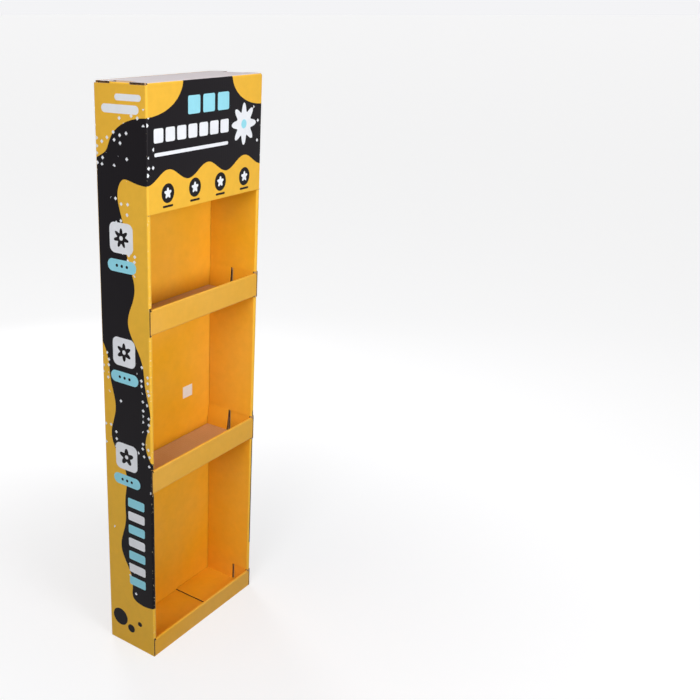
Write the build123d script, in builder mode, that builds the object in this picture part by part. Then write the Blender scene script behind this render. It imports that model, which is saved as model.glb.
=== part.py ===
import os

from build123d import *

os.makedirs("parts", exist_ok=True)

# Overall size in mm, front at -Y, floor at Z 0, origin under the middle of the stand
height = 1220.0
width = 362.0
depth = 130.0

# Corrugated board and how it folds
board = 3.0
crease_share = 0.35
crease_inside = board * crease_share
crease_outside = crease_inside + board
slip = 0.3
kerf = 1.0

# Levels read from the front, the shelves as shares of the height under the header
header_height = 236.0
upper_shelf_share = 0.759
lower_shelf_share = 0.4085
shelf_lip = 53.0
base_lip = 43.0

# Notches that the tray flaps leave in the inner walls
shelf_notch = 65.0
base_notch = 45.0
notch_head = 4.0
flap_gap = 3.0
ear_tuck = 6.0
lower_lean = 8.0
upper_lean = 4.0

# Flaps
rear_flap = 38.0
tuck_flap = 45.0
dust_flap = 75.0
dust_hinge = 48.0
dust_neck = 20.0
dust_taper = 9.0
tray_rear_flap = 34.0
floor_seam_x = 45.0
floor_overlap = 65.0

# Tray lip, rolled over double
roll_gap = 0.6
roll_radius = board + roll_gap / 2

# Double-wall pad that lies in each shelf
pad_thick = 6.0
pad_gap = 2.5

# Paper label on the back panel
label_width = 33.5
label_height = 28.0
label_x = 90.0
label_rise = 115.0
label_thick = 0.25

# Places that follow from the sizes above
half_w = width / 2
half_d = depth / 2
front = -half_d
side_inside = half_w - board
liner_outside = side_inside - board - slip
liner_inside = liner_outside - board
back_rear = half_d - board
back_front = back_rear - board
liner_rear = back_front - kerf
header_z = height - header_height
upper_shelf_z = header_z * upper_shelf_share
lower_shelf_z = header_z * lower_shelf_share
side_top = height - crease_outside
dust_top = height - board - slip
lip_back = front + 2 * roll_radius
flap_front = lip_back - board + crease_outside
upper_lip_z = upper_shelf_z + shelf_lip
lower_lip_z = lower_shelf_z + shelf_lip
left_floor_z = 0.0
right_floor_z = left_floor_z + board + slip
pad_half = liner_inside - lower_lean - slip

# Each window of the front: from the lip below it to the lip or header above it
windows = [
    (base_lip + notch_head, lower_shelf_z - kerf),
    (lower_lip_z + notch_head, upper_shelf_z - kerf),
    (upper_lip_z + notch_head, header_z - kerf),
]
# Beside each lip the side panel stands alone
bare_bands = [
    (0, base_lip + notch_head),
    (lower_shelf_z - kerf, lower_lip_z + notch_head),
    (upper_shelf_z - kerf, upper_lip_z + notch_head),
    (header_z - kerf, header_z),
]
# Tongues of the inner wall that hang behind the shelf lips: foot, head, lean
tongues = [
    (lower_shelf_z + board + slip, lower_lip_z + notch_head, lower_lean),
    (upper_shelf_z + board + slip, upper_lip_z + notch_head, upper_lean),
]

# Wrap: one sheet that makes sides, header, top, rolled front edges and inner walls
with BuildPart() as outer_wrap:
    # Side panel with its glue flap, rolled round the front edge and back along the inside
    for foot, head in windows:
        with BuildSketch(Plane.XY.offset(foot)):
            with BuildLine():
                FilletPolyline(
                    (-half_w + rear_flap, half_d),
                    (-half_w, half_d),
                    (-half_w, front),
                    (-liner_inside, front),
                    (-liner_inside, liner_rear),
                    radius=crease_outside,
                )
                offset(amount=board, side=Side.LEFT)
            make_face()
        extrude(amount=head - foot)
    # Side panel alone, with a cut front edge
    for foot, head in bare_bands:
        with BuildSketch(Plane.XY.offset(foot)):
            with BuildLine():
                FilletPolyline(
                    (-half_w + rear_flap, half_d),
                    (-half_w, half_d),
                    (-half_w, front),
                    radius=crease_outside,
                )
                offset(amount=board, side=Side.LEFT)
            make_face()
        extrude(amount=head - foot)
    # Tongues behind the shelf lips, creased at the notch head and leaning in
    for foot, head, lean in tongues:
        with BuildSketch(Plane.XZ.offset(-(front + shelf_notch))):
            with BuildLine():
                Polyline(
                    (-liner_outside, head),
                    (-liner_inside, head),
                    (-liner_inside + lean, foot),
                    (-liner_outside + lean, foot),
                    close=True,
                )
            make_face()
        extrude(amount=-(liner_rear - front - shelf_notch))
    mirror(about=Plane.YZ)
    # Left floor flap, folded in from the foot of the inner wall
    with BuildSketch(Plane.XZ.offset(-(front + base_notch))):
        with BuildLine():
            FilletPolyline(
                (-liner_outside, base_lip + notch_head),
                (-liner_outside, left_floor_z),
                (floor_seam_x + floor_overlap, left_floor_z),
                radius=crease_outside,
            )
            offset(amount=board, side=Side.LEFT)
        make_face()
    extrude(amount=-(liner_rear - front - base_notch))
    # In front of the inner wall the flap runs on to the flap of the base rail
    with Locations((-liner_outside, lip_back + kerf, left_floor_z)):
        Box(
            liner_outside + floor_seam_x + floor_overlap,
            front + base_notch - lip_back - kerf,
            board,
            align=Align.MIN,
        )
    # Right floor flap, lying over the left one
    with BuildSketch(Plane.XZ.offset(-(front + base_notch))):
        with BuildLine():
            FilletPolyline(
                (liner_outside, base_lip + notch_head),
                (liner_outside, right_floor_z),
                (floor_seam_x, right_floor_z),
                radius=crease_outside,
            )
            offset(amount=board, side=Side.RIGHT)
        make_face()
    extrude(amount=-(liner_rear - front - base_notch))
    with Locations((floor_seam_x, lip_back + kerf, right_floor_z)):
        Box(
            liner_outside - floor_seam_x,
            front + base_notch - lip_back - kerf,
            board,
            align=Align.MIN,
        )
    # Header between the two sides
    with BuildSketch(Plane.XY.offset(header_z)):
        with BuildLine():
            FilletPolyline(
                (-half_w + rear_flap, half_d),
                (-half_w, half_d),
                (-half_w, front),
                (half_w, front),
                (half_w, half_d),
                (half_w - rear_flap, half_d),
                radius=crease_outside,
            )
            offset(amount=board, side=Side.LEFT)
        make_face()
    extrude(amount=side_top - header_z)
    # Top panel, folded back from the header, with its flap down inside the back
    with BuildSketch(Plane.YZ):
        with BuildLine():
            FilletPolyline(
                (front, side_top - board),
                (front, height),
                (back_front, height),
                (back_front, height - tuck_flap),
                radius=crease_outside,
            )
            offset(amount=board, side=Side.RIGHT)
        make_face()
    extrude(amount=half_w - crease_outside, both=True)
    with Locations((0, front + crease_outside, height - board)):
        Box(
            width - 2 * kerf,
            back_front - front - 2 * crease_outside,
            board,
            align=(Align.CENTER, Align.MIN, Align.MIN),
        )
    # Dust flaps: each folds over at the middle of its side and dips through a notch to lie under the top
    for hand in (-1, 1):
        with Locations((hand * half_w, 0, height - board)):
            Box(
                2 * dust_neck,
                dust_hinge + 2 * kerf,
                board,
                align=(Align.CENTER, Align.CENTER, Align.MIN),
                mode=Mode.SUBTRACT,
            )
        with BuildSketch(Plane.XZ):
            with BuildLine():
                FilletPolyline(
                    (hand * half_w, side_top - board),
                    (hand * half_w, height),
                    (hand * (half_w - dust_neck), dust_top),
                    (hand * (half_w - dust_flap), dust_top),
                    radius=crease_outside,
                )
                offset(amount=board, side=Side.RIGHT if hand < 0 else Side.LEFT)
            make_face()
        extrude(amount=dust_hinge / 2, both=True)
        with BuildSketch(Plane.XY.offset(dust_top - board)):
            with BuildLine():
                Polyline(
                    (hand * (half_w - dust_neck - kerf), front + board + kerf),
                    (hand * (half_w - dust_flap), front + board + kerf + dust_taper),
                    (hand * (half_w - dust_flap), back_front - board - kerf - dust_taper),
                    (hand * (half_w - dust_neck - kerf), back_front - board - kerf),
                    close=True,
                )
            make_face()
        extrude(amount=board)
outer_wrap.part.label = "outer_wrap"
export_step(outer_wrap.part, "parts/outer_wrap.step")

# Back panel, glued to the flaps of the wrap
with BuildPart() as back_panel:
    with BuildSketch(Plane.XZ.offset(-back_rear)):
        with Locations((0, 0)):
            Rectangle(2 * (side_inside - crease_inside), height - slip, align=(Align.CENTER, Align.MIN))
    extrude(amount=board)
back_panel.part.label = "back_panel"
export_step(back_panel.part, "parts/back_panel.step")

# Upper shelf: a tray with a rolled lip, lip flaps, side walls and a flap down the back
with BuildPart() as upper_shelf:
    # Front of the floor and the outer face of the lip
    with BuildSketch(Plane.YZ):
        with BuildLine():
            FilletPolyline(
                (front + shelf_notch, upper_shelf_z),
                (front, upper_shelf_z),
                (front, upper_lip_z - roll_radius),
                radius=crease_outside,
            )
            offset(amount=board, side=Side.RIGHT)
        make_face()
    extrude(amount=side_inside, both=True)
    # Roll over the top of the lip
    with BuildSketch(Plane.YZ):
        with BuildLine():
            Line((front, upper_lip_z - 2 * roll_radius), (front, upper_lip_z - roll_radius))
            ThreePointArc(
                (front, upper_lip_z - roll_radius),
                (front + roll_radius, upper_lip_z),
                (lip_back, upper_lip_z - roll_radius),
            )
            Line((lip_back, upper_lip_z - roll_radius), (lip_back, upper_lip_z - 2 * roll_radius))
            offset(amount=board, side=Side.RIGHT)
        make_face()
    extrude(amount=side_inside - crease_outside, both=True)
    # Inner face of the lip, with a flap turned back along each side
    with BuildSketch(Plane.XY.offset(upper_shelf_z + board + kerf)):
        with BuildLine():
            FilletPolyline(
                (-side_inside, front + shelf_notch - flap_gap),
                (-side_inside, lip_back - board),
                (side_inside, lip_back - board),
                (side_inside, front + shelf_notch - flap_gap),
                radius=crease_outside,
            )
            offset(amount=board, side=Side.LEFT)
        make_face()
    extrude(amount=shelf_lip - roll_radius - board - kerf)
    # Ear on the flap, tucked up behind the inner wall
    with Locations((-side_inside, flap_front, upper_lip_z - roll_radius)):
        Box(
            board,
            front + shelf_notch - flap_gap - flap_front,
            roll_radius + notch_head + ear_tuck,
            align=Align.MIN,
        )
    # Rest of the floor
    with Locations((0, front + shelf_notch, upper_shelf_z)):
        Box(
            2 * (side_inside - crease_outside),
            back_front - crease_outside - front - shelf_notch,
            board,
            align=(Align.CENTER, Align.MIN, Align.MIN),
        )
    # Flap down the back
    with BuildSketch(Plane.YZ):
        with BuildLine():
            FilletPolyline(
                (back_front - 2 * crease_outside, upper_shelf_z + board),
                (back_front, upper_shelf_z + board),
                (back_front, upper_shelf_z - tray_rear_flap),
                radius=crease_outside,
            )
            offset(amount=board, side=Side.RIGHT)
        make_face()
    extrude(amount=liner_inside - 2 * kerf, both=True)
    # Side wall, standing between the side panel and its inner wall
    with BuildSketch(Plane.XZ.offset(-(front + shelf_notch + kerf))):
        with BuildLine():
            FilletPolyline(
                (-side_inside + 2 * crease_outside, upper_shelf_z),
                (-side_inside, upper_shelf_z),
                (-side_inside, upper_lip_z - roll_radius),
                radius=crease_outside,
            )
            offset(amount=board, side=Side.RIGHT)
        make_face()
    extrude(amount=-(back_front - crease_outside - kerf - front - shelf_notch - kerf))
    mirror(about=Plane.YZ)
upper_shelf.part.label = "upper_shelf"
export_step(upper_shelf.part, "parts/upper_shelf.step")

# Lower shelf: the same tray, lower down
with BuildPart() as lower_shelf:
    with Locations((0, 0, lower_shelf_z - upper_shelf_z)):
        add(upper_shelf.part)
lower_shelf.part.label = "lower_shelf"
export_step(lower_shelf.part, "parts/lower_shelf.step")

# Pads of plain double-wall board, one loose in each shelf
with BuildPart() as upper_pad:
    with BuildSketch(Plane.XY.offset(upper_shelf_z + board)):
        with Locations((0, lip_back + slip)):
            Rectangle(
                2 * pad_half,
                back_front - lip_back - slip - pad_gap,
                align=(Align.CENTER, Align.MIN),
            )
    extrude(amount=pad_thick)
upper_pad.part.label = "upper_pad"
export_step(upper_pad.part, "parts/upper_pad.step")

with BuildPart() as lower_pad:
    with Locations((0, 0, lower_shelf_z - upper_shelf_z)):
        add(upper_pad.part)
lower_pad.part.label = "lower_pad"
export_step(lower_pad.part, "parts/lower_pad.step")

# Base rail: a strip rolled over double along the front of the floor, with a flap at each end
with BuildPart() as base_rail:
    # Both faces of the rail and the roll between them
    with BuildSketch(Plane.YZ):
        with BuildLine():
            Line((front, 0), (front, base_lip - roll_radius))
            ThreePointArc(
                (front, base_lip - roll_radius),
                (front + roll_radius, base_lip),
                (lip_back, base_lip - roll_radius),
            )
            Line((lip_back, base_lip - roll_radius), (lip_back, 0))
            offset(amount=board, side=Side.RIGHT)
        make_face()
    extrude(amount=side_inside - crease_outside, both=True)
    # Ends of the outer face
    with Locations((0, front, 0)):
        Box(
            2 * side_inside,
            board,
            base_lip - roll_radius,
            align=(Align.CENTER, Align.MIN, Align.MIN),
        )
    # Inner face turned back along each side
    with BuildSketch():
        with BuildLine():
            FilletPolyline(
                (-side_inside, front + base_notch - flap_gap),
                (-side_inside, lip_back - board),
                (side_inside, lip_back - board),
                (side_inside, front + base_notch - flap_gap),
                radius=crease_outside,
            )
            offset(amount=board, side=Side.LEFT)
        make_face()
    extrude(amount=base_lip - roll_radius)
    # Ear on each flap, tucked up behind the inner wall
    with Locations((-side_inside, flap_front, base_lip - roll_radius)):
        Box(
            board,
            front + base_notch - flap_gap - flap_front,
            roll_radius + notch_head + ear_tuck,
            align=Align.MIN,
        )
    mirror(about=Plane.YZ)
base_rail.part.label = "base_rail"
export_step(base_rail.part, "parts/base_rail.step")

# Paper label stuck on the back panel
with BuildPart() as paper_label:
    with BuildSketch(Plane.XZ.offset(-back_front)):
        with Locations((label_x, lower_shelf_z + label_rise)):
            Rectangle(label_width, label_height)
    extrude(amount=label_thick)
paper_label.part.label = "paper_label"
export_step(paper_label.part, "parts/paper_label.step")
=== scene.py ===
import math

import bpy
import numpy as np
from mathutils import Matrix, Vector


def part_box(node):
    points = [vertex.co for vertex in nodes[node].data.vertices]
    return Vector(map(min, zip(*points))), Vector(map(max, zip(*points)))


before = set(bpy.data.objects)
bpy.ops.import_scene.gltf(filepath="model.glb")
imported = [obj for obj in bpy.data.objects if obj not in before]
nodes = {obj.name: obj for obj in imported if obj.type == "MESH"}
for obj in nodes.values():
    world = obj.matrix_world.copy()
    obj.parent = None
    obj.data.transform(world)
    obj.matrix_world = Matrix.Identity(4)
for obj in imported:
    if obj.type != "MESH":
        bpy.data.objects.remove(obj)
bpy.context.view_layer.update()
print("frame loaded:", ", ".join(sorted(nodes)))

# Inks and papers as sRGB hex; some carry painted shade or painted bounce light, as marked below
ink = {
    "orange": "#EEB83F",
    # the same orange print, deepened: painted bounce light between the orange walls
    "insideOrangePaintedBounce": "#F4B125",
    # the same orange print, darkened: painted shade on the lips' fronts
    "lipOrangePaintedShade": "#E7AB35",
    "black": "#110D12",
    "paleBlue": "#98DCEC",
    "white": "#EBEDF2",
    "kraft": "#D1A978",
    "kraftDark": "#9A7350",
    "kraftPale": "#E2C39A",
    # white paper painted grey-pink: painted shade on the top
    "topWhitePaintedShade": "#D4CBCD",
    "labelWhite": "#F0EEEA",
    "crackWhite": "#F3E3BE",
    # dark brown for the flute hollows in cut edges: painted shade
    "paintedHollowShade": "#3B2917",
}

# B-flute board, mm
fluteBoard = {"pitch": 6.3, "thick": 3.0, "rippleDepth": 0.05}

# The folded wrap from the frame, mm
halfWidth, halfDepth, tall = (value * 1000 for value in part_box("outer_wrap")[1])
headerHeight = 236.0
headerFoot = tall - headerHeight
farOut = 500.0  # past the edge of any panel


def linear(hexText):
    # sRGB hex to linear: the standard curve, one channel at a time
    srgb = np.array([int(hexText[i:i + 2], 16) for i in (1, 3, 5)]) / 255
    rgb = np.where(srgb <= 0.04045, srgb / 12.92, ((srgb + 0.055) / 1.055) ** 2.4)
    return (*rgb.tolist(), 1.0)


def addNode(tree, kind, links=(), **settings):
    # links holds values or sockets for the inputs, in their order or by number and name
    node = tree.nodes.new(kind)
    for key, value in settings.items():
        setattr(node, key, value)
    for key, value in links.items() if isinstance(links, dict) else enumerate(links):
        if isinstance(value, bpy.types.NodeSocket):
            tree.links.new(value, node.inputs[key])
        else:
            node.inputs[key].default_value = value
    return node


def newMaterial(name):
    # an empty node tree that reads Object coordinates in mm
    material = bpy.data.materials.new(name)
    material.use_nodes = True
    tree = material.node_tree
    tree.nodes.clear()
    place = addNode(tree, "ShaderNodeTexCoord")
    mm = addNode(tree, "ShaderNodeVectorMath", {0: place.outputs["Object"], 3: 1000.0}, operation="SCALE")
    return material, tree, mm.outputs[0]


# Printed motifs: each returns 1 inside the shape, from a flat place in mm
def discMask(tree, at, centre, radius):
    # distance from the centre under the radius
    away = addNode(tree, "ShaderNodeVectorMath", [at, (*centre, 0)], operation="DISTANCE").outputs["Value"]
    return addNode(tree, "ShaderNodeMath", [away, radius], operation="LESS_THAN").outputs[0]


def barMask(tree, at, centre, half, corner):
    # rounded box: what is left of |place| beyond the inner box stays under the corner radius
    inner = (half[0] - corner, half[1] - corner, farOut)
    off = addNode(tree, "ShaderNodeVectorMath", [at, (*centre, 0)], operation="SUBTRACT").outputs[0]
    off = addNode(tree, "ShaderNodeVectorMath", [off], operation="ABSOLUTE").outputs[0]
    off = addNode(tree, "ShaderNodeVectorMath", [off, inner], operation="SUBTRACT").outputs[0]
    off = addNode(tree, "ShaderNodeVectorMath", [off, (0, 0, 0)], operation="MAXIMUM").outputs[0]
    far = addNode(tree, "ShaderNodeVectorMath", [off], operation="LENGTH").outputs["Value"]
    return addNode(tree, "ShaderNodeMath", [far, corner], operation="LESS_THAN").outputs[0]


def rosetteMask(tree, at, centre, radius, depth, petals):
    # petals: the edge is radius * (1 + depth * cos(petals * angle))
    off = addNode(tree, "ShaderNodeVectorMath", [at, (*centre, 0)], operation="SUBTRACT").outputs[0]
    part = addNode(tree, "ShaderNodeSeparateXYZ", [off]).outputs
    turn = addNode(tree, "ShaderNodeMath", [part[0], part[1]], operation="ARCTAN2").outputs[0]
    turn = addNode(tree, "ShaderNodeMath", [turn, petals], operation="MULTIPLY").outputs[0]
    wave = addNode(tree, "ShaderNodeMath", [turn], operation="COSINE").outputs[0]
    reach = [wave, radius * depth, radius]
    edge = addNode(tree, "ShaderNodeMath", reach, operation="MULTIPLY_ADD").outputs[0]
    far = addNode(tree, "ShaderNodeVectorMath", [off], operation="LENGTH").outputs["Value"]
    return addNode(tree, "ShaderNodeMath", [far, edge], operation="LESS_THAN").outputs[0]


def ovalEdge(tree, at, centre, half):
    # about how far a place lies outside an oval: the length of the squashed place less the half height
    squash = (half[1] / half[0], 1, 1)
    off = addNode(tree, "ShaderNodeVectorMath", [at, (*centre, 0)], operation="SUBTRACT").outputs[0]
    off = addNode(tree, "ShaderNodeVectorMath", [off, squash], operation="MULTIPLY").outputs[0]
    far = addNode(tree, "ShaderNodeVectorMath", [off], operation="LENGTH").outputs["Value"]
    return addNode(tree, "ShaderNodeMath", [far, half[1]], operation="SUBTRACT").outputs[0]


def cellOf(tree, at, middle, pitch):
    # repeats a motif: the place measured from the nearest middle, and a pitch of 0 leaves that way alone
    half = [step / 2 if step else farOut for step in pitch]
    off = addNode(tree, "ShaderNodeVectorMath", [at, (*middle, 0)], operation="SUBTRACT").outputs[0]
    limits = [(*half, 1), (-half[0], -half[1], -1)]
    return addNode(tree, "ShaderNodeVectorMath", [off, *limits], operation="WRAP").outputs[0]


def cellNumber(tree, along, middle, pitch):
    # which repeat a place is in: the whole part of (place - middle) / pitch + 1/2
    steps = [along, 1 / pitch, 0.5 - middle / pitch]
    count = addNode(tree, "ShaderNodeMath", steps, operation="MULTIPLY_ADD").outputs[0]
    return addNode(tree, "ShaderNodeMath", [count], operation="FLOOR").outputs[0]


def waveSum(tree, along, start, waves):
    # start + the sum of size * sin(2 pi * (place / length + phase))
    total = start
    for size, length, phase in waves:
        turns = [along, 2 * math.pi / length, 2 * math.pi * phase]
        turn = addNode(tree, "ShaderNodeMath", turns, operation="MULTIPLY_ADD").outputs[0]
        wave = addNode(tree, "ShaderNodeMath", [turn], operation="SINE").outputs[0]
        total = addNode(tree, "ShaderNodeMath", [wave, size, total], operation="MULTIPLY_ADD").outputs[0]
    return total


# Scattered specks of white, mm
confetti = {"cell": 15.0, "size": 3.9, "scatter": 0.6}


def confettiMask(tree, at, density):
    # diamonds: city-block distance to scattered points,
    # kept where a cell's own random number is under the density
    cell = confetti["cell"]
    spot = addNode(
        tree, "ShaderNodeTexVoronoi", {"Vector": at, "Scale": 1 / cell, "Randomness": confetti["scatter"]},
        voronoi_dimensions="2D", distance="MANHATTAN",
    )
    nearness = [spot.outputs["Distance"], confetti["size"] / cell]
    near = addNode(tree, "ShaderNodeMath", nearness, operation="LESS_THAN").outputs[0]
    lot = addNode(tree, "ShaderNodeSeparateColor", [spot.outputs["Color"]]).outputs[0]
    kept = addNode(tree, "ShaderNodeMath", [lot, density], operation="LESS_THAN").outputs[0]
    return addNode(tree, "ShaderNodeMath", [near, kept], operation="MULTIPLY").outputs[0]


def colourOver(tree, under, masks, over):
    # one colour over another, as far as all the masks say: a colour is a name from ink or a socket
    cover = masks[0]
    for mask in masks[1:]:
        cover = addNode(tree, "ShaderNodeMath", [cover, mask], operation="MULTIPLY").outputs[0]
    pair = [linear(ink[name]) if isinstance(name, str) else name for name in (under, over)]
    return addNode(tree, "ShaderNodeMix", {0: cover, 6: pair[0], 7: pair[1]}, data_type="RGBA").outputs[2]


def fluteWave(tree, mm):
    # a sine across the flutes: along x on faces that look forward, along y on the sides and on flat floors
    geometry = addNode(tree, "ShaderNodeNewGeometry")
    lean = addNode(tree, "ShaderNodeVectorMath", [geometry.outputs["True Normal"]], operation="ABSOLUTE")
    lean = addNode(tree, "ShaderNodeSeparateXYZ", [lean.outputs[0]]).outputs
    level = addNode(tree, "ShaderNodeMath", [lean[0], lean[2]], operation="ADD")
    axis = addNode(tree, "ShaderNodeCombineXYZ", [lean[1], level.outputs[0]])
    across = addNode(tree, "ShaderNodeVectorMath", [mm, axis.outputs[0]], operation="DOT_PRODUCT")
    return waveSum(tree, across.outputs["Value"], 0.0, [(1.0, fluteBoard["pitch"], 0.0)])


# Film on the print: noise sizes in mm, the sag in ripples, and each range as (from, to, becomes, becomes)
film = {
    "sagSize": 160.0, "sag": 14.0, "mottleSize": 22.0, "tint": (0.3, 0.7, 0.955, 1.03),
    "rough": (0.25, 0.75, 0.33, 0.43), "mirror": 0.1, "bump": 0.3,
}


def filmFinish(tree, mm, colour):
    # Litho print under a thin film: a soft sheen that ripples with the flutes beneath and mirrors little
    sag = addNode(tree, "ShaderNodeTexNoise", {"Vector": mm, "Scale": 1 / film["sagSize"], "Detail": 2.0})
    swell = [sag.outputs[0], film["sag"], fluteWave(tree, mm)]
    height = addNode(tree, "ShaderNodeMath", swell, operation="MULTIPLY_ADD").outputs[0]
    depth = fluteBoard["rippleDepth"] / 1000
    bump = addNode(tree, "ShaderNodeBump", {"Strength": film["bump"], "Distance": depth, "Height": height})
    grain = {"Vector": mm, "Scale": 1 / film["mottleSize"], "Detail": 6.0, "Roughness": 0.65}
    mottle = addNode(tree, "ShaderNodeTexNoise", grain).outputs[0]
    tint = addNode(tree, "ShaderNodeMapRange", [mottle, *film["tint"]]).outputs[0]
    inked = addNode(tree, "ShaderNodeVectorMath", {0: colour, 3: tint}, operation="SCALE").outputs[0]
    rough = addNode(tree, "ShaderNodeMapRange", [mottle, *film["rough"]]).outputs[0]
    shader = addNode(tree, "ShaderNodeBsdfPrincipled", {
        "Base Color": inked, "Roughness": rough, "IOR": 1.5, "Specular IOR Level": film["mirror"],
        "Normal": bump.outputs[0],
    })
    addNode(tree, "ShaderNodeOutputMaterial", [shader.outputs[0]])


# Side print: dark stream on orange, tiles with rosettes, pills, a ladder of bars
# Places are (depth, height) and half sizes go the same way, in mm
sidePrint = {
    "swing": (300.0, 1010.0, -36.0, 44.0), "streamHalf": 47.0,
    "streamWaves": [(11.0, 238.0, 0.1), (6.0, 131.0, 0.42)],
    "streamFoot": 118.0, "streamHead": 1088.0, "endRound": 70.0, "melt": 34.0,
    "ovalAt": (-halfDepth, 1098.0), "ovalHalf": (96.0, 61.0),
    "confettiReach": 30.0, "confettiMost": 0.75, "patchSize": 150.0, "patches": (0.46, 0.6),
    "tileAt": (4.0, 700.0), "tilePitch": 232.0, "tileHalf": (30.0, 30.0), "tileCorner": 13.0,
    "rosette": 15.0, "petalDepth": 0.3, "petals": 6.0, "heart": 4.5,
    "pillDrop": -55.0, "pillHalf": (37.0, 12.5), "dotPitch": 13.0, "dot": 3.2, "dotReach": 20.0,
    "ladderAt": (-20.0, 268.0), "ladderPitch": 32.0, "ladderReach": 112.0,
    "rungHalf": (23.0, 10.5), "rungCorner": 4.0,
    "titleBars": [((-20.0, 1193.0), (32.0, 6.0)), ((0.0, 1172.0), (46.0, 8.0))],
    "spots": [((34.0, 62.0), 21.0), ((2.0, 44.0), 10.0), ((-24.0, 66.0), 6.0)],
    "turnIn": halfWidth - 6.0,  # the print runs this far round the rolled front edge
    "crackFrom": halfWidth - 3.5, "crackRim": (halfDepth - 2.8, halfDepth - 0.4),
    "chipSize": 5.0, "chips": (0.61, 0.7),
}


def printSide():
    material, tree, mm = newMaterial("lithoPrintSide")
    art = sidePrint
    xyz = addNode(tree, "ShaderNodeSeparateXYZ", [mm]).outputs
    depth, rise = xyz[1], xyz[2]
    at = addNode(tree, "ShaderNodeCombineXYZ", [depth, rise]).outputs[0]
    # stream: its middle line swings from the front at the foot to the back at the head
    swing = addNode(tree, "ShaderNodeMapRange", [rise, *art["swing"]], interpolation_type="SMOOTHSTEP")
    middle = waveSum(tree, rise, swing.outputs[0], art["streamWaves"])
    off = addNode(tree, "ShaderNodeMath", [depth, middle], operation="SUBTRACT").outputs[0]
    off = addNode(tree, "ShaderNodeMath", [off], operation="ABSOLUTE").outputs[0]
    stream = addNode(tree, "ShaderNodeMath", [off, art["streamHalf"]], operation="SUBTRACT").outputs[0]
    below = addNode(tree, "ShaderNodeMath", [art["streamFoot"], rise], operation="SUBTRACT").outputs[0]
    above = addNode(tree, "ShaderNodeMath", [rise, art["streamHead"]], operation="SUBTRACT").outputs[0]
    ends = addNode(tree, "ShaderNodeMath", [below, above], operation="MAXIMUM").outputs[0]
    rounded = [stream, ends, art["endRound"]]
    stream = addNode(tree, "ShaderNodeMath", rounded, operation="SMOOTH_MAX").outputs[0]
    # the header's dark field comes round the front edge as half an oval
    oval = ovalEdge(tree, at, art["ovalAt"], art["ovalHalf"])
    dark = addNode(tree, "ShaderNodeMath", [stream, oval, art["melt"]], operation="SMOOTH_MIN").outputs[0]
    darkMask = addNode(tree, "ShaderNodeMath", [dark, 0.0], operation="LESS_THAN").outputs[0]
    colour = colourOver(tree, "orange", [darkMask], "black")
    # confetti thins out away from the stream's edge, and comes in patches
    edge = addNode(tree, "ShaderNodeMath", [dark], operation="ABSOLUTE").outputs[0]
    dense = addNode(tree, "ShaderNodeMapRange", [edge, 0.0, art["confettiReach"], art["confettiMost"], 0.0])
    blotch = {"Vector": mm, "Scale": 1 / art["patchSize"], "Detail": 1.0}
    patch = addNode(tree, "ShaderNodeTexNoise", blotch).outputs[0]
    some = addNode(tree, "ShaderNodeMapRange", [patch, *art["patches"]])
    density = addNode(tree, "ShaderNodeMath", [dense.outputs[0], some.outputs[0]], operation="MULTIPLY")
    colour = colourOver(tree, colour, [confettiMask(tree, at, density.outputs[0])], "white")
    # three tiles up the panel, each with its own count of petals
    cell = cellOf(tree, at, art["tileAt"], (0, art["tilePitch"]))
    rows = [rise, art["tileAt"][1], 1.5 * art["tilePitch"]]
    inRows = addNode(tree, "ShaderNodeMath", rows, operation="COMPARE").outputs[0]
    tile = [inRows, barMask(tree, cell, (0, 0), art["tileHalf"], art["tileCorner"])]
    colour = colourOver(tree, colour, tile, "white")
    storey = cellNumber(tree, rise, art["tileAt"][1], art["tilePitch"])
    petals = addNode(tree, "ShaderNodeMath", [storey, art["petals"]], operation="ADD").outputs[0]
    rosette = rosetteMask(tree, cell, (0, 0), art["rosette"], art["petalDepth"], petals)
    colour = colourOver(tree, colour, tile + [rosette], "black")
    colour = colourOver(tree, colour, tile + [discMask(tree, cell, (0, 0), art["heart"])], "white")
    # pill under each tile, with a row of dots
    pill = [inRows, barMask(tree, cell, (0, art["pillDrop"]), art["pillHalf"], art["pillHalf"][1])]
    colour = colourOver(tree, colour, pill, "paleBlue")
    beads = cellOf(tree, cell, (0, 0), (art["dotPitch"], 0))
    strand = [depth, art["tileAt"][0], art["dotReach"]]
    inStrand = addNode(tree, "ShaderNodeMath", strand, operation="COMPARE").outputs[0]
    dots = [inStrand, discMask(tree, beads, (0, art["pillDrop"]), art["dot"])]
    colour = colourOver(tree, colour, pill + dots, "black")
    # ladder: rungs in turn white and pale blue
    rung = cellOf(tree, at, art["ladderAt"], (0, art["ladderPitch"]))
    reach = [rise, art["ladderAt"][1], art["ladderReach"]]
    inLadder = addNode(tree, "ShaderNodeMath", reach, operation="COMPARE").outputs[0]
    number = cellNumber(tree, rise, art["ladderAt"][1], art["ladderPitch"])
    odd = addNode(tree, "ShaderNodeMath", [number, 2.0], operation="FLOORED_MODULO").outputs[0]
    rungInk = colourOver(tree, "white", [odd], "paleBlue")
    rungs = [inLadder, barMask(tree, rung, (0, 0), art["rungHalf"], art["rungCorner"])]
    colour = colourOver(tree, colour, rungs, rungInk)
    for centre, half in art["titleBars"]:
        colour = colourOver(tree, colour, [barMask(tree, at, centre, half, half[1])], "white")
    for centre, radius in art["spots"]:
        colour = colourOver(tree, colour, [discMask(tree, at, centre, radius)], "black")
    # past the turn-in the rolled edge is plain
    wide = addNode(tree, "ShaderNodeMath", [xyz[0]], operation="ABSOLUTE").outputs[0]
    inside = addNode(tree, "ShaderNodeMath", [wide, art["turnIn"]], operation="LESS_THAN").outputs[0]
    colour = colourOver(tree, colour, [inside], "orange")
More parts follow.
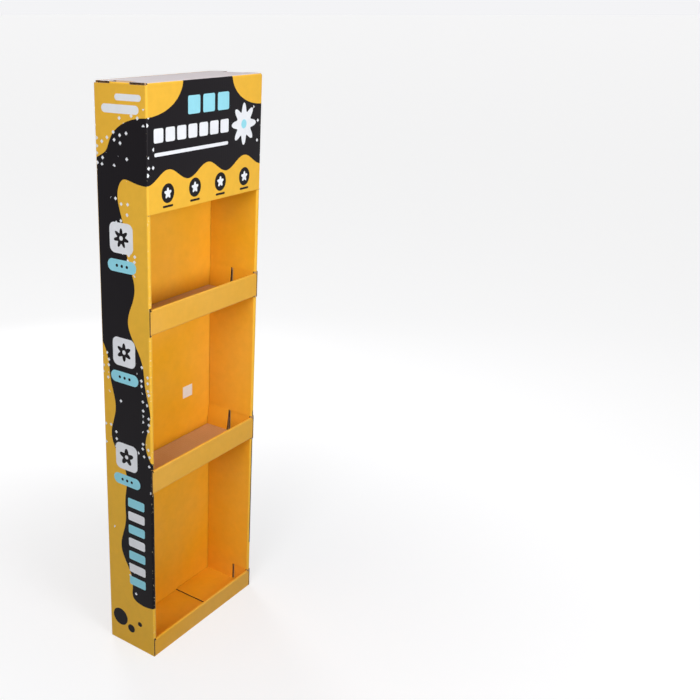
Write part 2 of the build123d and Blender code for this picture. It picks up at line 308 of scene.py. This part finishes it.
    # creases: the ink cracks in places along the front and back edges
    deep = addNode(tree, "ShaderNodeMath", [depth], operation="ABSOLUTE").outputs[0]
    rim = addNode(tree, "ShaderNodeMapRange", [deep, *art["crackRim"]]).outputs[0]
    corner = addNode(tree, "ShaderNodeMath", [wide, art["crackFrom"]], operation="GREATER_THAN").outputs[0]
    chip = addNode(tree, "ShaderNodeTexNoise", {"Vector": mm, "Scale": 1 / art["chipSize"], "Detail": 4.0})
    chip = addNode(tree, "ShaderNodeMapRange", [chip.outputs[0], *art["chips"]]).outputs[0]
    colour = colourOver(tree, colour, [rim, corner, chip], "crackWhite")
    filmFinish(tree, mm, colour)
    return material


# Header print: dark field with a wavy foot, blocks in two rows, one big rosette, a row of discs
# Places are (x, height) and half sizes go the same way, in mm
headerPrint = {
    "waveFoot": headerFoot + 66.0, "waves": [(12.0, 121.0, 0.25)],
    "cornerAt": (halfWidth, 1222.0), "cornerHalf": (104.0, 62.0), "cornerMelt": 12.0,
    "confettiRise": (halfWidth - 31.0, halfWidth, 0.0, 0.6),
    "blockRows": [  # ink, middle, pitch, half size, reach to each side
        ("paleBlue", (2.0, 1174.0), 46.0, (18.5, 17.0), 69.0),
        ("white", (-48.0, 1126.0), 33.5, (13.5, 13.0), 117.2),
    ],
    "blockCorner": 4.0, "lineAt": (-48.0, 1092.0), "lineHalf": (113.0, 3.4),
    "bloomAt": (118.0, 1124.0), "bloom": 33.0, "bloomDepth": 0.26, "bloomPetals": 8.0, "bloomHeart": 9.0,
    "discAt": (-41.0, 1018.0), "discPitch": 82.0, "discReach": 164.0, "disc": 18.5,
    "discBloom": 8.5, "discPetals": 5.0, "captionDrop": -24.5, "captionHalf": (15.0, 2.2),
}


def printHeader():
    material, tree, mm = newMaterial("lithoPrintHeader")
    art = headerPrint
    xyz = addNode(tree, "ShaderNodeSeparateXYZ", [mm]).outputs
    side, rise = xyz[0], xyz[2]
    at = addNode(tree, "ShaderNodeCombineXYZ", [side, rise]).outputs[0]
    # dark field above a wavy line, rounded off at the two upper corners
    wavy = waveSum(tree, side, art["waveFoot"], art["waves"])
    below = addNode(tree, "ShaderNodeMath", [wavy, rise], operation="SUBTRACT").outputs[0]
    fold = addNode(tree, "ShaderNodeVectorMath", [at], operation="ABSOLUTE").outputs[0]
    oval = ovalEdge(tree, fold, art["cornerAt"], art["cornerHalf"])
    corner = addNode(tree, "ShaderNodeMath", [oval, -1.0], operation="MULTIPLY").outputs[0]
    melted = [below, corner, art["cornerMelt"]]
    dark = addNode(tree, "ShaderNodeMath", melted, operation="SMOOTH_MAX").outputs[0]
    darkMask = addNode(tree, "ShaderNodeMath", [dark, 0.0], operation="LESS_THAN").outputs[0]
    colour = colourOver(tree, "orange", [darkMask], "black")
    # confetti gathers at the two ends
    far = addNode(tree, "ShaderNodeMath", [side], operation="ABSOLUTE").outputs[0]
    dense = addNode(tree, "ShaderNodeMapRange", [far, *art["confettiRise"]]).outputs[0]
    density = addNode(tree, "ShaderNodeMath", [dense, darkMask], operation="MULTIPLY").outputs[0]
    colour = colourOver(tree, colour, [confettiMask(tree, at, density)], "white")
    # two rows of blocks and a line under them
    for name, middle, pitch, half, reach in art["blockRows"]:
        block = cellOf(tree, at, middle, (pitch, 0))
        inRow = addNode(tree, "ShaderNodeMath", [side, middle[0], reach], operation="COMPARE").outputs[0]
        blocks = [inRow, barMask(tree, block, (0, 0), half, art["blockCorner"])]
        colour = colourOver(tree, colour, blocks, name)
    line = barMask(tree, at, art["lineAt"], art["lineHalf"], art["lineHalf"][1])
    colour = colourOver(tree, colour, [line], "white")
    # one big rosette
    bloom = rosetteMask(tree, at, art["bloomAt"], art["bloom"], art["bloomDepth"], art["bloomPetals"])
    colour = colourOver(tree, colour, [bloom], "white")
    colour = colourOver(tree, colour, [discMask(tree, at, art["bloomAt"], art["bloomHeart"])], "paleBlue")
    # row of discs on the orange foot, each with a small rosette and a bar under it
    disc = cellOf(tree, at, art["discAt"], (art["discPitch"], 0))
    inRow = addNode(tree, "ShaderNodeMath", [side, 0.0, art["discReach"]], operation="COMPARE").outputs[0]
    discs = [inRow, discMask(tree, disc, (0, 0), art["disc"])]
    colour = colourOver(tree, colour, discs, "black")
    small = rosetteMask(tree, disc, (0, 0), art["discBloom"], art["bloomDepth"], art["discPetals"])
    colour = colourOver(tree, colour, discs + [small], "white")
    caption = barMask(tree, disc, (0, art["captionDrop"]), art["captionHalf"], art["captionHalf"][1])
    colour = colourOver(tree, colour, [inRow, caption], "black")
    filmFinish(tree, mm, colour)
    return material


# Plain print: size of the clouds in mm, and their range
plainPrint = {"washSize": 240.0, "wash": (0.35, 0.65, 0.0, 0.06)}


def printPlain(name, inkName):
    # plain orange litho print: lips and glue flaps outside, walls, floor and back inside
    material, tree, mm = newMaterial(name)
    art = plainPrint
    wash = addNode(tree, "ShaderNodeTexNoise", {"Vector": mm, "Scale": 1 / art["washSize"], "Detail": 2.0})
    fade = addNode(tree, "ShaderNodeMapRange", [wash.outputs[0], *art["wash"]]).outputs[0]
    filmFinish(tree, mm, colourOver(tree, inkName, [fade], "crackWhite"))
    return material


# Kraft paper: fibre and cloud sizes in mm, and ranges as above
kraftPaper = {
    "fibreSize": 1.6, "fibreStretch": (1.0, 1.0, 0.25), "fibres": (0.3, 0.75), "fibreHeight": 0.8,
    "cloudSize": 35.0, "clouds": (0.35, 0.75, 0.0, 0.12), "stripes": (-1.0, 1.0, 0.0, 0.1), "bump": 0.5,
}


def kraftLiner():
    # Unbleached kraft paper as it leaves the corrugator:
    # matt brown, long fibres drawn coarse enough to show, faint lines of the flutes beneath
    material, tree, mm = newMaterial("kraftLiner")
    look = kraftPaper
    drawn = addNode(tree, "ShaderNodeVectorMath", [mm, look["fibreStretch"]], operation="MULTIPLY")
    strands = {"Vector": drawn.outputs[0], "Scale": 1 / look["fibreSize"], "Detail": 8.0, "Roughness": 0.7}
    fibre = addNode(tree, "ShaderNodeTexNoise", strands).outputs[0]
    pale = addNode(tree, "ShaderNodeMapRange", [fibre, *look["fibres"]]).outputs[0]
    haze = {"Vector": mm, "Scale": 1 / look["cloudSize"], "Detail": 3.0}
    cloud = addNode(tree, "ShaderNodeTexNoise", haze).outputs[0]
    patch = addNode(tree, "ShaderNodeMapRange", [cloud, *look["clouds"]]).outputs[0]
    ripple = fluteWave(tree, mm)
    stripe = addNode(tree, "ShaderNodeMapRange", [ripple, *look["stripes"]]).outputs[0]
    shade = addNode(tree, "ShaderNodeMath", [patch, stripe], operation="ADD").outputs[0]
    brown = colourOver(tree, colourOver(tree, "kraft", [pale], "kraftPale"), [shade], "kraftDark")
    swell = [fibre, look["fibreHeight"], ripple]
    height = addNode(tree, "ShaderNodeMath", swell, operation="MULTIPLY_ADD").outputs[0]
    depth = fluteBoard["rippleDepth"] / 1000
    bump = addNode(tree, "ShaderNodeBump", {"Strength": look["bump"], "Distance": depth, "Height": height})
    shader = addNode(tree, "ShaderNodeBsdfPrincipled", {
        "Base Color": brown, "Roughness": 0.88, "IOR": 1.45, "Normal": bump.outputs[0],
    })
    addNode(tree, "ShaderNodeOutputMaterial", [shader.outputs[0]])
    return material


# Cut edges: grit, tears and depths in mm, and ranges as above
cutEdge = {
    "gritSize": 1.2, "grit": 1.4, "mouths": (0.5, 1.5, 0.0, 0.8), "mouthDepth": 0.4,
    "tearSize": 7.0, "tears": (0.5, 0.72), "tearDepth": 0.6, "bump": 0.6,
}


def cutAcross():
    # Board die-cut across the flutes: a row of flute mouths in pale paper, the mouths painted dark as
    # painted shade
    material, tree, mm = newMaterial("cutAcrossFlutes")
    look = cutEdge
    grit = addNode(tree, "ShaderNodeTexNoise", {"Vector": mm, "Scale": 1 / look["gritSize"], "Detail": 4.0})
    ragged = [grit.outputs[0], look["grit"], fluteWave(tree, mm)]
    mouths = addNode(tree, "ShaderNodeMath", ragged, operation="MULTIPLY_ADD").outputs[0]
    # painted shade: the flute mouths darken the paper
    dark = addNode(tree, "ShaderNodeMapRange", [mouths, *look["mouths"]]).outputs[0]
    pressed = {"Strength": look["bump"], "Distance": look["mouthDepth"] / 1000, "Height": dark}
    bump = addNode(tree, "ShaderNodeBump", pressed, invert=True)
    shader = addNode(tree, "ShaderNodeBsdfPrincipled", {
        "Base Color": colourOver(tree, "kraft", [dark], "paintedHollowShade"), "Roughness": 0.92, "IOR": 1.45,
        "Normal": bump.outputs[0],
    })
    addNode(tree, "ShaderNodeOutputMaterial", [shader.outputs[0]])
    return material


def cutAlong():
    # Board die-cut along the flutes: one long hollow between the two papers painted dark as painted shade,
    # torn fibres here and there
    material, tree, mm = newMaterial("cutAlongFlutes")
    look = cutEdge
    rips = {"Vector": mm, "Scale": 1 / look["tearSize"], "Detail": 5.0, "Roughness": 0.7}
    tear = addNode(tree, "ShaderNodeTexNoise", rips).outputs[0]
    torn = addNode(tree, "ShaderNodeMapRange", [tear, *look["tears"]]).outputs[0]
    raised = {"Strength": look["bump"], "Distance": look["tearDepth"] / 1000, "Height": torn}
    bump = addNode(tree, "ShaderNodeBump", raised)
    shader = addNode(tree, "ShaderNodeBsdfPrincipled", {
        "Base Color": colourOver(tree, "paintedHollowShade", [torn], "kraftDark"), "Roughness": 0.95, "IOR": 1.45,
        "Normal": bump.outputs[0],
    })
    addNode(tree, "ShaderNodeOutputMaterial", [shader.outputs[0]])
    return material


# White paper: size of the clouds in mm, and their range
whitePaper = {"cloudSize": 28.0, "tint": (0.3, 0.7, 0.95, 1.02), "mirror": 0.06, "bump": 0.3}


def coatedWhite(name, inkName, roughness):
    # Clay-coated white paper, unprinted: even and almost matt, with a faint cloudiness
    material, tree, mm = newMaterial(name)
    look = whitePaper
    haze = {"Vector": mm, "Scale": 1 / look["cloudSize"], "Detail": 6.0, "Roughness": 0.6}
    cloud = addNode(tree, "ShaderNodeTexNoise", haze).outputs[0]
    tint = addNode(tree, "ShaderNodeMapRange", [cloud, *look["tint"]]).outputs[0]
    paper = {0: linear(ink[inkName])[:3], 3: tint}
    white = addNode(tree, "ShaderNodeVectorMath", paper, operation="SCALE").outputs[0]
    side = addNode(tree, "ShaderNodeSeparateXYZ", [mm]).outputs[0]
    ripple = waveSum(tree, side, 0.0, [(1.0, fluteBoard["pitch"], 0.0)])
    depth = fluteBoard["rippleDepth"] / 1000
    bump = addNode(tree, "ShaderNodeBump", {"Strength": look["bump"], "Distance": depth, "Height": ripple})
    shader = addNode(tree, "ShaderNodeBsdfPrincipled", {
        "Base Color": white, "Roughness": roughness, "IOR": 1.48, "Specular IOR Level": look["mirror"],
        "Normal": bump.outputs[0],
    })
    addNode(tree, "ShaderNodeOutputMaterial", [shader.outputs[0]])
    return material


finish = {
    "side": printSide(),
    "header": printHeader(),
    "plain": printPlain("lithoPrintPlain", "orange"),
    # inner faces: orange print deepened with painted bounce light
    "inside": printPlain("lithoPrintInside", "insideOrangePaintedBounce"),
    # lips' fronts: orange print darkened with painted shade
    "lip": printPlain("lithoPrintLip", "lipOrangePaintedShade"),
    "kraft": kraftLiner(),
    "across": cutAcross(),
    "along": cutAlong(),
    # the top's white paper is painted grey-pink: painted shade
    "top": coatedWhite("coatedWhiteTop", "topWhitePaintedShade", 0.5),
    "label": coatedWhite("whiteLabelPaper", "labelWhite", 0.7),
}
print("materials:", ", ".join(m.name for m in finish.values()))

# How the faces of the folded sheets are told apart, mm
folds = {
    "touch": 0.1,  # faces in one plane
    "slip": 0.3,  # between loose layers
    "fold": 4.2,  # outer radius of a fold and a little more
    "frontSkin": 1.3,  # the header's front and the start of its folds
    "lean": 9.0,  # the inner walls' tongues lean in less than this
    "floorStack": 9.0,  # the lapped floor flaps with their folds are lower than this
    "floorFold": 2.0,  # the floor flaps' folds, out past the inner walls' faces
    "endZone": 8.0,  # a level face nearer to the foot or the head isn't a cut edge
    "roofEdge": 0.5,  # the dust flaps' cut edges stand further in than this
    "rollGap": 0.6,  # between the two boards of a rolled lip
    "endFlap": 1.5,  # an end flap's inner face, in past the board
    "trayEdge": 6.0,  # a tray's cut edges, in from its ends
    "rearZone": 20.0,  # a tray's rear flap lies behind this
    "earTuck": 6.0,  # the ears reach this far up behind the inner walls
    "trayRearFlap": 34.0,
    "kerf": 1.0,
}
# Cosines between a face's normal and an axis
tilt = {
    "square": 0.9, "frontal": 0.7, "upright": 0.2, "round": 0.3, "slight": 0.05, "hair": 0.02,
    "roofEnd": 0.45, "roofFront": 0.8,
}
thick = fluteBoard["thick"]
linerFace = halfWidth - 3 * thick - folds["slip"]  # the inner walls' faces towards the goods

# Heights between the shelves, where the front edges are rolled
trays = ("base_rail", "lower_shelf", "upper_shelf")
feet = [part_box(node)[1][2] * 1000 - folds["earTuck"] for node in trays]
heads = [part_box(node)[0][2] * 1000 + folds["trayRearFlap"] for node in trays[1:]] + [headerFoot]
windows = [(foot, head - folds["kerf"]) for foot, head in zip(feet, heads)]


def facesOf(mesh):
    # each face's centre in mm and its outward normal, as whole arrays
    centre = np.zeros(len(mesh.polygons) * 3)
    normal = np.zeros(len(mesh.polygons) * 3)
    mesh.polygons.foreach_get("center", centre)
    mesh.polygons.foreach_get("normal", normal)
    return centre.reshape(-1, 3) * 1000, normal.reshape(-1, 3)


def dress(node, choice):
    # choice holds one finish name per face
    mesh = nodes[node].data
    mesh.materials.clear()
    used = [name for name in finish if np.any(choice == name)]
    for name in used:
        mesh.materials.append(finish[name])
    index = np.array([used.index(name) for name in choice], dtype=np.int32)
    mesh.polygons.foreach_set("material_index", index)
    mesh.update()


def dressWrap():
    # brown inner paper, unless a line below says otherwise, and a later line wins
    centre, normal = facesOf(nodes["outer_wrap"].data)
    x, y, z = np.abs(centre[:, 0]), centre[:, 1], centre[:, 2]  # x to either side
    out, forth, up = np.sign(centre[:, 0]) * normal[:, 0], normal[:, 1], normal[:, 2]
    fold, touch, lean, square = folds["fold"], folds["touch"], folds["lean"], tilt["square"]
    level = np.abs(up) > square
    wall = np.abs(up) < tilt["upright"]
    inWindow = np.any([(z > foot) & (z < head) for foot, head in windows], axis=0)
    atFront = y < -halfDepth + fold
    atSide = x > halfWidth - fold
    atFoot = z < folds["floorStack"]
    liner = x > linerFace - lean
    choice = np.full(len(centre), "kraft", dtype=object)
    # cut edges of the sides, the windows and the inner walls
    choice[level & (z > folds["endZone"]) & (z < tall - folds["endZone"])] = "across"
    choice[level & ((x > halfWidth - thick - touch) | (y > halfDepth - thick - touch))] = "across"
    choice[wall & (np.abs(forth) > square) & (x < linerFace + thick + touch) & liner] = "along"
    choice[wall & (forth < -square) & (y < -halfDepth + touch) & ~inWindow & (z < headerFoot)] = "along"
    # print outside: sides with their folds, glue flaps, header, rolled front edges
    choice[wall & (out > square) & (x > halfWidth - touch)] = "side"
    choice[wall & (out > tilt["round"]) & atSide] = "side"
    choice[wall & (y > halfDepth - fold) & (forth > tilt["round"])] = "plain"
    front = (y < -halfDepth + folds["frontSkin"]) & (forth < -tilt["frontal"])
    choice[wall & (z > headerFoot) & front] = "header"
    choice[wall & inWindow & atFront & (forth < tilt["hair"]) & (x > linerFace - touch)] = "side"
    # print inside: inner walls and floor, and the floor flaps' cut edges
    choice[wall & (out < -square) & (x < linerFace + touch) & liner] = "inside"
    choice[atFoot & (up > tilt["slight"]) & (x < linerFace + folds["floorFold"])] = "inside"
    choice[wall & (np.abs(out) > square) & atFoot & ~liner] = "along"
    # unprinted top, the folds down from it, and the dust flaps' cut edges
    roof = (z > tall - fold) & (up > tilt["slight"])
    choice[roof] = "top"
    choice[roof & atFront & (up < tilt["roofFront"])] = "header"
    choice[roof & (out > tilt["roofEnd"]) & atSide] = "side"
    dustEdge = (z > tall - thick) & (x < halfWidth - folds["roofEdge"]) & atSide
    choice[wall & dustEdge & (out > square)] = "along"
    dress("outer_wrap", choice)


def dressTray(node):
    # printed outside: under the floor, on the lip and its roll, on the end flaps; brown paper on the floor
    centre, normal = facesOf(nodes[node].data)
    x, y = np.abs(centre[:, 0]), centre[:, 1]  # x to either side
    out, forth, up = np.sign(centre[:, 0]) * normal[:, 0], normal[:, 1], normal[:, 2]
    front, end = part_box(node)[0][1] * 1000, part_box(node)[1][0] * 1000
    touch, square, slight, hair = folds["touch"], tilt["square"], tilt["slight"], tilt["hair"]
    lip = y < front + 2 * thick + folds["rollGap"] + touch
    atEnd = x > end - thick - touch
    choice = np.full(len(centre), "kraft", dtype=object)
    choice[up < -slight] = "inside"
    choice[lip & ((forth > hair) | (up > slight))] = "inside"
    choice[lip & (forth < -hair)] = "lip"
    choice[(x > end - thick - folds["endFlap"]) & (y < 0) & (out < -slight)] = "inside"
    choice[(out > square) & (x > end - folds["trayEdge"])] = "along"
    choice[(up > square) & atEnd] = "across"
    choice[(np.abs(forth) > square) & atEnd & ~lip] = "along"
    choice[(forth < -square) & (y > folds["rearZone"])] = "inside"
    dress(node, choice)


def dressBack():
    # printed towards the shelves, brown behind
    normal = facesOf(nodes["back_panel"].data)[1]
    choice = np.where(np.abs(normal[:, 2]) > tilt["square"], "across", "along").astype(object)
    choice[normal[:, 1] < -tilt["square"]] = "inside"
    choice[normal[:, 1] > tilt["square"]] = "kraft"
    dress("back_panel", choice)


def dressPad(node):
    normal = facesOf(nodes[node].data)[1]
    dress(node, np.where(np.abs(normal[:, 2]) > tilt["square"], "kraft", "across").astype(object))


dressWrap()
for node in trays:
    dressTray(node)
dressBack()
for node in ("upper_pad", "lower_pad"):
    dressPad(node)
dress("paper_label", np.full(len(nodes["paper_label"].data.polygons), "label", dtype=object))
print("finishes set on", len(nodes), "pieces")

# Studio: pale floor in m, its glow over a reach in mm, pale surround
studio = {
    "floorHalf": 200.0, "floorDrop": 0.0002, "floor": "#A9A9AB",
    "cloudSize": 900.0, "tint": (0.3, 0.7, 0.985, 1.0),
    "glow": "#FFFFFF", "glowRise": (300.0, 1500.0, 0.58, 0.8),
    "surround": "#F4F4F6", "ambient": 0.17, "backdrop": 1.0,
}


def shownRays(tree):
    # 1 for what the camera sees, straight or mirrored
    path = addNode(tree, "ShaderNodeLightPath").outputs
    shown = path["Is Camera Ray"]
    for ray in ("Is Glossy Ray", "Is Transmission Ray"):
        shown = addNode(tree, "ShaderNodeMath", [shown, path[ray]], operation="MAXIMUM").outputs[0]
    return shown


def buildFloor():
    half = studio["floorHalf"]
    u, v = np.meshgrid((-half, half), (-half, half))
    points = np.stack([u.ravel(), v.ravel(), np.full(u.size, -studio["floorDrop"])], axis=1)
    mesh = bpy.data.meshes.new("studioFloor")
    mesh.from_pydata(points.tolist(), [], [(0, 1, 3, 2)])
    floor = bpy.data.objects.new("studioFloor", mesh)
    bpy.context.scene.collection.objects.link(floor)
    # Matt paper: even, with the least cloudiness
    material, tree, mm = newMaterial("matPaperFloor")
    haze = {"Vector": mm, "Scale": 1 / studio["cloudSize"], "Detail": 2.0}
    cloud = addNode(tree, "ShaderNodeTexNoise", haze).outputs[0]
    tint = addNode(tree, "ShaderNodeMapRange", [cloud, *studio["tint"]]).outputs[0]
    grey = {0: linear(studio["floor"])[:3], 3: tint}
    paper = addNode(tree, "ShaderNodeVectorMath", grey, operation="SCALE").outputs[0]
    # it looks white to the camera, straight or mirrored:
    # less so near the stand, where it keeps the shadow, and not under it
    away = addNode(tree, "ShaderNodeVectorMath", [mm], operation="LENGTH").outputs["Value"]
    rise = addNode(tree, "ShaderNodeMapRange", [away, *studio["glowRise"]], interpolation_type="SMOOTHSTEP")
    under = barMask(tree, mm, (0, 0), (halfWidth - thick, halfDepth - thick), thick)
    seen = addNode(tree, "ShaderNodeMath", [shownRays(tree), under], operation="SUBTRACT", use_clamp=True)
    glow = addNode(tree, "ShaderNodeMath", [rise.outputs[0], seen.outputs[0]], operation="MULTIPLY")
    shader = addNode(tree, "ShaderNodeBsdfPrincipled", {
        "Base Color": paper, "Roughness": 0.8, "Specular IOR Level": 0.1,
        "Emission Color": linear(studio["glow"]), "Emission Strength": glow.outputs[0],
    })
    addNode(tree, "ShaderNodeOutputMaterial", [shader.outputs[0]])
    mesh.materials.append(material)


def buildWorld():
    # white to the camera, straight or mirrored, and a soft fill to everything else
    world = bpy.data.worlds.new("paleSurround")
    bpy.context.scene.world = world
    world.use_nodes = True
    tree = world.node_tree
    tree.nodes.clear()
    levels = [shownRays(tree), 0.0, 1.0, studio["ambient"], studio["backdrop"]]
    strength = addNode(tree, "ShaderNodeMapRange", levels).outputs[0]
    sky = addNode(tree, "ShaderNodeBackground", [linear(studio["surround"]), strength])
    addNode(tree, "ShaderNodeOutputWorld", [sky.outputs[0]])


# Soft boxes: place and size in m, power in W, spread in degrees, as a grid narrows it
lamps = {
    "key": {"at": (-0.35, -1.8, 1.25), "size": 1.0, "power": 11.0, "spread": 120.0},
    "fill": {"at": (-2.15, -0.7, 1.6), "size": 1.1, "power": 12.8, "spread": 130.0},
    "rear": {"at": (1.5, 2.2, 1.1), "size": 1.1, "power": 18.0, "spread": 130.0},
    "over": {"at": (-0.4, -0.3, 3.3), "size": 1.6, "power": 31.0, "spread": 180.0},
}
lampAim = (0.0, 0.0, 1.05)


def softLamp(name, at, size, power, spread):
    lamp = bpy.data.lights.new(name + "Lamp", "AREA")
    lamp.shape = "DISK"
    lamp.size = size
    lamp.energy = power
    lamp.spread = math.radians(spread)
    holder = bpy.data.objects.new(name + "Lamp", lamp)
    holder.location = at
    aim = np.array(lampAim) - np.array(at)
    pitch = math.atan2(aim[2], math.hypot(aim[0], aim[1]))
    holder.rotation_euler = (math.pi / 2 + pitch, 0, math.atan2(aim[1], aim[0]) - math.pi / 2)
    bpy.context.scene.collection.objects.link(holder)


buildFloor()
buildWorld()
for name, lamp in lamps.items():
    softLamp(name, **lamp)
print("studio lit")

# Camera, from the photo's vanishing lines: place in m, angles in degrees, optical centre in pixels
view = {
    "at": (-1.487, -1.208, 1.342), "azimuth": -50.85, "elevation": 20.61, "roll": 0.13,
    "focal": 946.7, "centre": (181.0, 365.0), "image": 700, "sensor": 36.0, "reach": 500.0,
}


def buildCamera():
    camera = bpy.data.cameras.new("photoCamera")
    camera.sensor_width = view["sensor"]
    camera.lens = view["focal"] / view["image"] * view["sensor"]
    camera.shift_x = 0.5 - view["centre"][0] / view["image"]
    camera.shift_y = view["centre"][1] / view["image"] - 0.5
    camera.clip_end = view["reach"]
    holder = bpy.data.objects.new("photoCamera", camera)
    holder.location = view["at"]
    turns = (90 - view["elevation"], view["roll"], view["azimuth"])
    holder.rotation_euler = [math.radians(turn) for turn in turns]
    bpy.context.scene.collection.objects.link(holder)
    bpy.context.scene.camera = holder


buildCamera()
bpy.context.scene.view_settings.view_transform = "Standard"
print("camera set")
